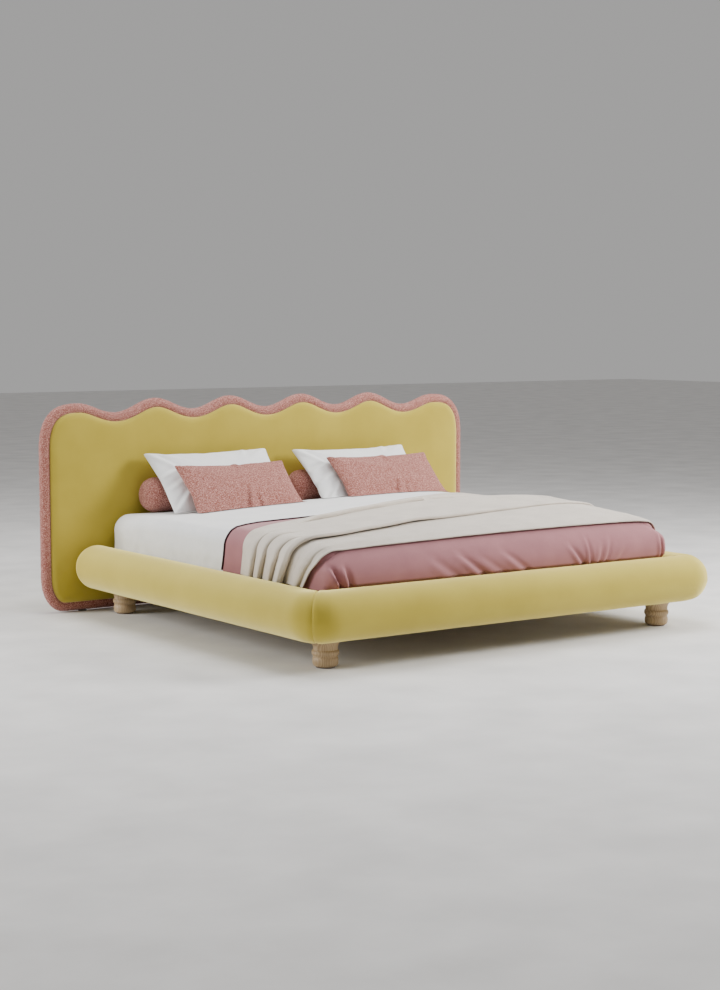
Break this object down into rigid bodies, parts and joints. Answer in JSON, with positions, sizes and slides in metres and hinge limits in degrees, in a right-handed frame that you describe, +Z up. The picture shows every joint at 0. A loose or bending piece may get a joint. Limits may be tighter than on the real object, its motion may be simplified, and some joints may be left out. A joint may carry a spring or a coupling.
{
  "type": "upholstered headboard bed",
  "caption": "Low upholstered double bed with a wavy-topped padded headboard with a rolled border, round padded rails, turned wooden feet and made-up bedding.",
  "frame": {"origin": "on the floor, under the centre of the bed's overall box", "axes": "+X along the headboard's width, +Y from the foot end towards the headboard, +Z up"},
  "size_m": [2.724, 2.318, 1.1022],
  "materials": {
    "velvet": "matte",
    "boucle": "matte",
    "plywood": "matte",
    "pine": "matte",
    "turned_wood": "satin",
    "steel": "satin",
    "black_plastic": "matte",
    "felt": "matte",
    "ticking": "matte",
    "white_cotton": "matte",
    "mauve_cotton": "matte",
    "cream_throw": "matte"
  },
  "bodies": {
    "frame": {"headboard_board": "plywood", "headboard_panel": "velvet", "headboard_border_roll": "boucle", "headboard_back_cover": "velvet", "headboard_top_batten": "pine", "headboard_bottom_batten": "pine", "headboard_post_left": "pine", "headboard_post_centre": "pine", "headboard_post_right": "pine", "headboard_glides": "black_plastic", "headboard_bolts": "steel", "rail_bracket_left": "steel", "rail_bracket_right": "steel", "side_rail_left_roll": "velvet", "side_rail_right_roll": "velvet", "foot_rail_roll": "velvet", "side_beam_left": "pine", "side_beam_right": "pine", "foot_beam": "pine", "slat_ledge_left": "pine", "slat_ledge_right": "pine", "centre_beam": "pine", "centre_hanger_foot": "steel", "centre_hanger_head": "steel", "centre_leg_front": "pine", "centre_leg_back": "pine", "centre_leg_glides": "black_plastic", "slats_left": "plywood", "slats_right": "plywood", "corner_blocks": "plywood", "frame_bolts": "steel", "foot_front_left": "turned_wood", "foot_front_right": "turned_wood", "foot_back_left": "turned_wood", "foot_back_right": "turned_wood", "foot_bolts": "steel", "foot_pads": "felt"},
    "mattress": {"mattress": "ticking", "fitted_sheet": "white_cotton"},
    "duvet": {"duvet": "mauve_cotton"},
    "throw": {"throw": "cream_throw"},
    "bolster_left": {"bolster_left": "boucle"},
    "pillow_left": {"pillow_left": "white_cotton"},
    "cushion_left": {"cushion_left": "boucle"},
    "bolster_right": {"bolster_right": "boucle"},
    "pillow_right": {"pillow_right": "white_cotton"},
    "cushion_right": {"cushion_right": "boucle"}
  },
  "joints": [
    {"name": "mattress_lift", "type": "slide", "parent": "frame", "child": "mattress", "axis": [0, 0, 1], "range_m": [0, 0.3]},
    {"name": "duvet_lift", "type": "slide", "parent": "mattress", "child": "duvet", "axis": [0, 0, 1], "range_m": [0, 0.15]},
    {"name": "throw_lift", "type": "slide", "parent": "duvet", "child": "throw", "axis": [0, 0, 1], "range_m": [0, 0.15]},
    {"name": "bolster_left_lift", "type": "slide", "parent": "mattress", "child": "bolster_left", "axis": [0, 0, 1], "range_m": [0, 0.15]},
    {"name": "pillow_left_lift", "type": "slide", "parent": "bolster_left", "child": "pillow_left", "axis": [0, 0, 1], "range_m": [0, 0.15]},
    {"name": "cushion_left_lift", "type": "slide", "parent": "pillow_left", "child": "cushion_left", "axis": [0, 0, 1], "range_m": [0, 0.15]},
    {"name": "bolster_right_lift", "type": "slide", "parent": "mattress", "child": "bolster_right", "axis": [0, 0, 1], "range_m": [0, 0.15]},
    {"name": "pillow_right_lift", "type": "slide", "parent": "bolster_right", "child": "pillow_right", "axis": [0, 0, 1], "range_m": [0, 0.15]},
    {"name": "cushion_right_lift", "type": "slide", "parent": "pillow_right", "child": "cushion_right", "axis": [0, 0, 1], "range_m": [0, 0.15]}
  ]
}
